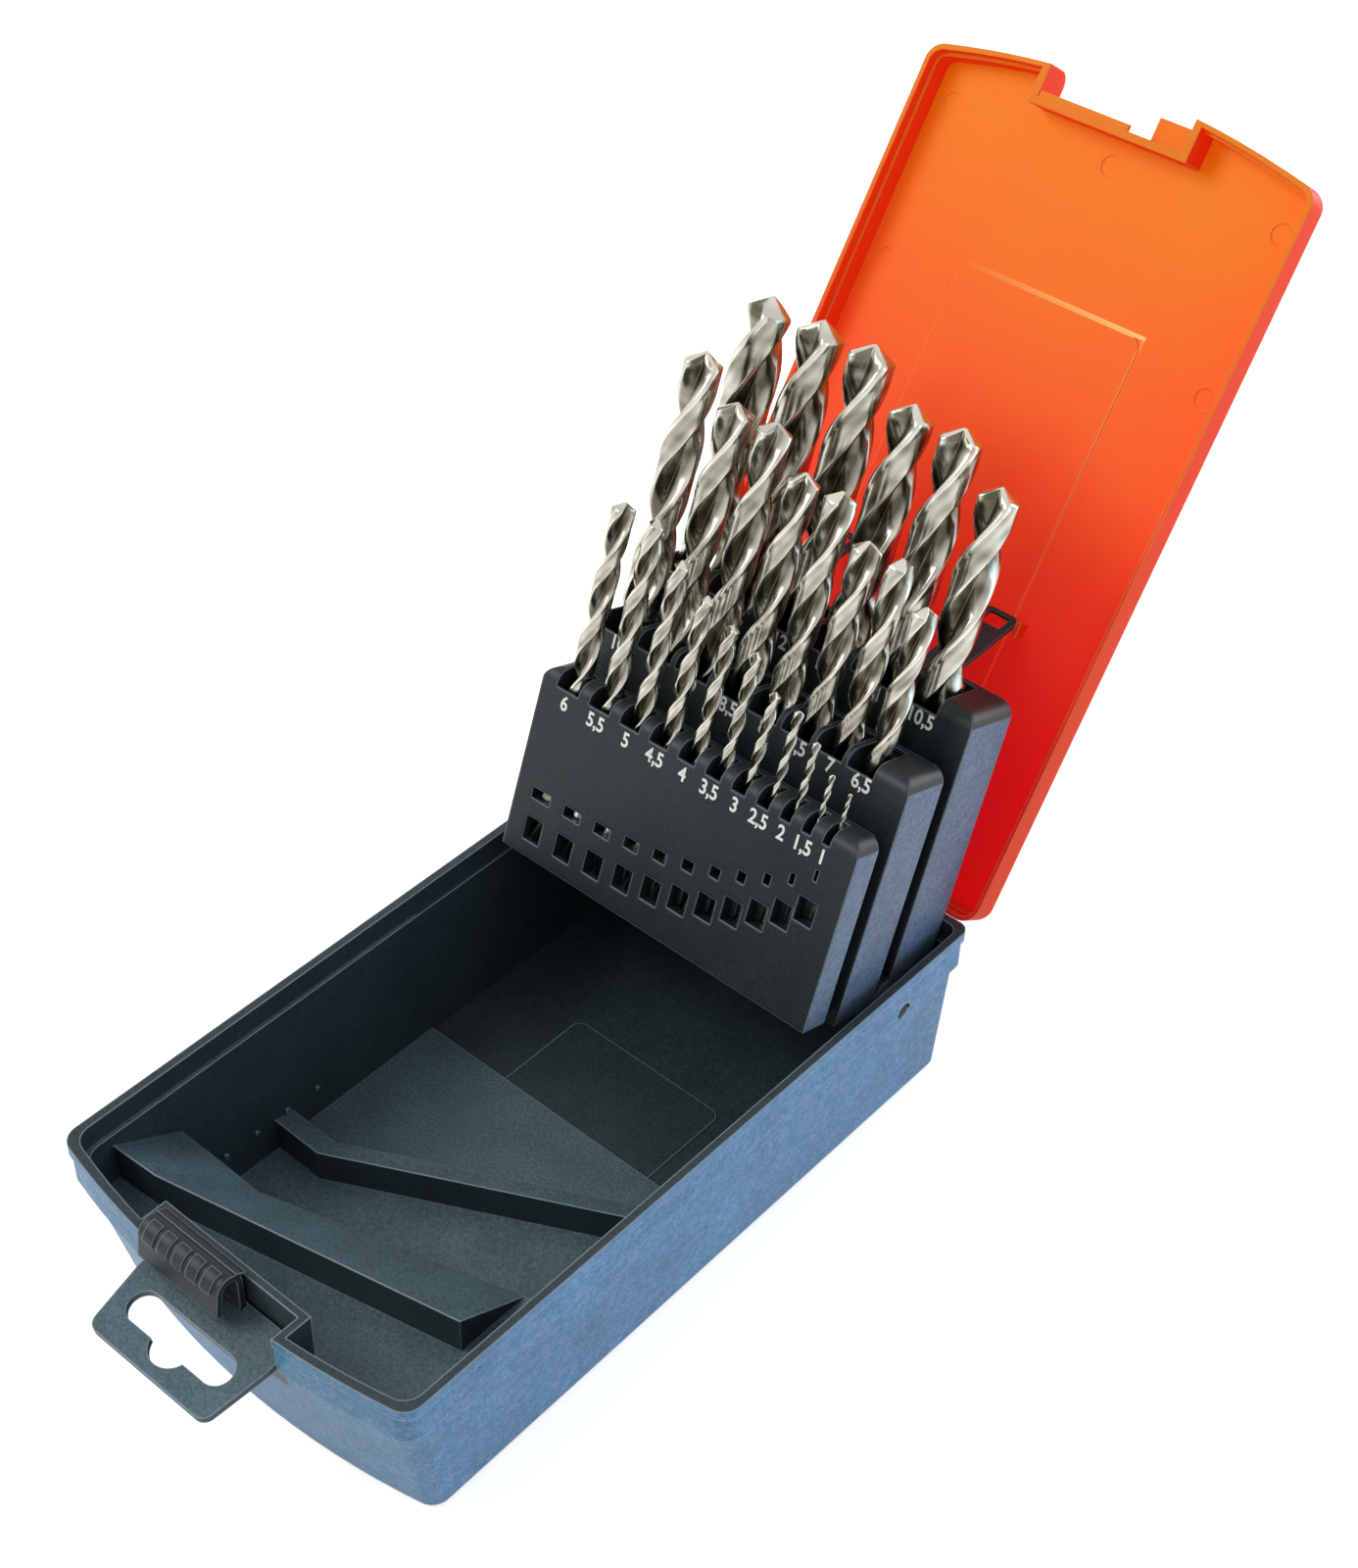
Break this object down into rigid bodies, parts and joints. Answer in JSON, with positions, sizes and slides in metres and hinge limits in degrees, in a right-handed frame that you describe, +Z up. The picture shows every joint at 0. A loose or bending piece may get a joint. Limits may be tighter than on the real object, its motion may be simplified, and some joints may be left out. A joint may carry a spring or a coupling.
{
  "type": "drill bit case",
  "caption": "Hinged plastic drill bit case, shown open: bowed tray, leaning lid, and a tilting three-tier rack of twist bits tied to the lid by two straps.",
  "frame": {"origin": "centre of the tray's flat underside", "axes": "+X to the right of someone facing the latch, +Y towards the hinge, -Y towards the latch, +Z up"},
  "size_m": [0.112, 0.3385, 0.2131],
  "materials": {
    "case_plastic": "satin moulded, charcoal",
    "rack_plastic": "satin moulded, charcoal",
    "strap_plastic": "satin moulded, dark grey",
    "lid_plastic": "moulded, orange",
    "bit_steel": "bright ground",
    "pin_steel": "drawn wire"
  },
  "bodies": {
    "base": {"base_tray": "case_plastic", "hanger_plate": "case_plastic", "hinge_pin_left": "pin_steel", "hinge_pin_right": "pin_steel"},
    "lid": {"lid": "lid_plastic"},
    "rack": {"rack_front": "rack_plastic", "rack_middle": "rack_plastic", "rack_rear": "rack_plastic", "pivot_pin_left": "rack_plastic", "pivot_pin_right": "rack_plastic"},
    "strap_left": {"link_strap_left": "strap_plastic"},
    "strap_right": {"link_strap_right": "strap_plastic"},
    "tongue": {"snap_tongue": "case_plastic"},
    "bit_1_0mm": {"bit_1_0mm": "bit_steel"},
    "bit_1_5mm": {"bit_1_5mm": "bit_steel"},
    "bit_2_0mm": {"bit_2_0mm": "bit_steel"},
    "bit_2_5mm": {"bit_2_5mm": "bit_steel"},
    "bit_3_0mm": {"bit_3_0mm": "bit_steel"},
    "bit_3_5mm": {"bit_3_5mm": "bit_steel"},
    "bit_4_0mm": {"bit_4_0mm": "bit_steel"},
    "bit_4_5mm": {"bit_4_5mm": "bit_steel"},
    "bit_5_0mm": {"bit_5_0mm": "bit_steel"},
    "bit_5_5mm": {"bit_5_5mm": "bit_steel"},
    "bit_6_0mm": {"bit_6_0mm": "bit_steel"},
    "bit_6_5mm": {"bit_6_5mm": "bit_steel"},
    "bit_7_0mm": {"bit_7_0mm": "bit_steel"},
    "bit_7_5mm": {"bit_7_5mm": "bit_steel"},
    "bit_8_0mm": {"bit_8_0mm": "bit_steel"},
    "bit_8_5mm": {"bit_8_5mm": "bit_steel"},
    "bit_9_0mm": {"bit_9_0mm": "bit_steel"},
    "bit_9_5mm": {"bit_9_5mm": "bit_steel"},
    "bit_10_0mm": {"bit_10_0mm": "bit_steel"},
    "bit_10_5mm": {"bit_10_5mm": "bit_steel"},
    "bit_11_0mm": {"bit_11_0mm": "bit_steel"},
    "bit_11_5mm": {"bit_11_5mm": "bit_steel"},
    "bit_12_0mm": {"bit_12_0mm": "bit_steel"},
    "bit_12_5mm": {"bit_12_5mm": "bit_steel"},
    "bit_13_0mm": {"bit_13_0mm": "bit_steel"}
  },
  "joints": [
    {"name": "rack_tilt", "type": "hinge", "parent": "base", "child": "rack", "pos_m": [0, 0.072, 0.038], "axis": [-1, 0, 0], "range_deg": [-109.5, 0]},
    {"name": "lid_hinge", "type": "hinge", "parent": "base", "child": "lid", "pos_m": [0, 0.097, 0.049], "axis": [-1, 0, 0], "range_deg": [-124.4, 0]},
    {"name": "strap_left_fold", "type": "hinge", "parent": "rack", "child": "strap_left", "pos_m": [-0.025, 0.11249, 0.10322], "axis": [-1, 0, 0], "range_deg": [0, 109]},
    {"name": "strap_right_fold", "type": "hinge", "parent": "rack", "child": "strap_right", "pos_m": [0.025, 0.11249, 0.10322], "axis": [-1, 0, 0], "range_deg": [0, 109]},
    {"name": "tongue_flex", "type": "hinge", "parent": "base", "child": "tongue", "pos_m": [0, -0.097, 0.04058], "axis": [1, 0, 0], "range_deg": [0, 8], "stiffness_Nm_per_rad": 0.4},
    {"name": "bit_1_0mm_slide", "type": "slide", "parent": "rack", "child": "bit_1_0mm", "axis": [0, 0.3338, 0.9426], "range_m": [0, 0.034]},
    {"name": "bit_1_5mm_slide", "type": "slide", "parent": "rack", "child": "bit_1_5mm", "axis": [0, 0.3338, 0.9426], "range_m": [0, 0.038]},
    {"name": "bit_2_0mm_slide", "type": "slide", "parent": "rack", "child": "bit_2_0mm", "axis": [0, 0.3338, 0.9426], "range_m": [0, 0.042]},
    {"name": "bit_2_5mm_slide", "type": "slide", "parent": "rack", "child": "bit_2_5mm", "axis": [0, 0.3338, 0.9426], "range_m": [0, 0.045]},
    {"name": "bit_3_0mm_slide", "type": "slide", "parent": "rack", "child": "bit_3_0mm", "axis": [0, 0.3338, 0.9426], "range_m": [0, 0.048]},
    {"name": "bit_3_5mm_slide", "type": "slide", "parent": "rack", "child": "bit_3_5mm", "axis": [0, 0.3338, 0.9426], "range_m": [0, 0.05]},
    {"name": "bit_4_0mm_slide", "type": "slide", "parent": "rack", "child": "bit_4_0mm", "axis": [0, 0.3338, 0.9426], "range_m": [0, 0.052]},
    {"name": "bit_4_5mm_slide", "type": "slide", "parent": "rack", "child": "bit_4_5mm", "axis": [0, 0.3338, 0.9426], "range_m": [0, 0.053]},
    {"name": "bit_5_0mm_slide", "type": "slide", "parent": "rack", "child": "bit_5_0mm", "axis": [0, 0.3338, 0.9426], "range_m": [0, 0.054]},
    {"name": "bit_5_5mm_slide", "type": "slide", "parent": "rack", "child": "bit_5_5mm", "axis": [0, 0.3338, 0.9426], "range_m": [0, 0.055]},
    {"name": "bit_6_0mm_slide", "type": "slide", "parent": "rack", "child": "bit_6_0mm", "axis": [0, 0.3338, 0.9426], "range_m": [0, 0.055]},
    {"name": "bit_6_5mm_slide", "type": "slide", "parent": "rack", "child": "bit_6_5mm", "axis": [0, 0.3338, 0.9426], "range_m": [0, 0.072]},
    {"name": "bit_7_0mm_slide", "type": "slide", "parent": "rack", "child": "bit_7_0mm", "axis": [0, 0.3338, 0.9426], "range_m": [0, 0.072]},
    {"name": "bit_7_5mm_slide", "type": "slide", "parent": "rack", "child": "bit_7_5mm", "axis": [0, 0.3338, 0.9426], "range_m": [0, 0.072]},
    {"name": "bit_8_0mm_slide", "type": "slide", "parent": "rack", "child": "bit_8_0mm", "axis": [0, 0.3338, 0.9426], "range_m": [0, 0.072]},
    {"name": "bit_8_5mm_slide", "type": "slide", "parent": "rack", "child": "bit_8_5mm", "axis": [0, 0.3338, 0.9426], "range_m": [0, 0.072]},
    {"name": "bit_9_0mm_slide", "type": "slide", "parent": "rack", "child": "bit_9_0mm", "axis": [0, 0.3338, 0.9426], "range_m": [0, 0.072]},
    {"name": "bit_9_5mm_slide", "type": "slide", "parent": "rack", "child": "bit_9_5mm", "axis": [0, 0.3338, 0.9426], "range_m": [0, 0.072]},
    {"name": "bit_10_0mm_slide", "type": "slide", "parent": "rack", "child": "bit_10_0mm", "axis": [0, 0.3338, 0.9426], "range_m": [0, 0.072]},
    {"name": "bit_10_5mm_slide", "type": "slide", "parent": "rack", "child": "bit_10_5mm", "axis": [0, 0.3338, 0.9426], "range_m": [0, 0.09]},
    {"name": "bit_11_0mm_slide", "type": "slide", "parent": "rack", "child": "bit_11_0mm", "axis": [0, 0.3338, 0.9426], "range_m": [0, 0.09]},
    {"name": "bit_11_5mm_slide", "type": "slide", "parent": "rack", "child": "bit_11_5mm", "axis": [0, 0.3338, 0.9426], "range_m": [0, 0.09]},
    {"name": "bit_12_0mm_slide", "type": "slide", "parent": "rack", "child": "bit_12_0mm", "axis": [0, 0.3338, 0.9426], "range_m": [0, 0.09]},
    {"name": "bit_12_5mm_slide", "type": "slide", "parent": "rack", "child": "bit_12_5mm", "axis": [0, 0.3338, 0.9426], "range_m": [0, 0.09]},
    {"name": "bit_13_0mm_slide", "type": "slide", "parent": "rack", "child": "bit_13_0mm", "axis": [0, 0.3338, 0.9426], "range_m": [0, 0.09]}
  ],
  "couplings": [
    {"joint": "lid_hinge", "follows": "rack_tilt", "ratio": 1.136},
    {"joint": "strap_left_fold", "follows": "rack_tilt", "ratio": -0.9954},
    {"joint": "strap_right_fold", "follows": "rack_tilt", "ratio": -0.9954}
  ]
}
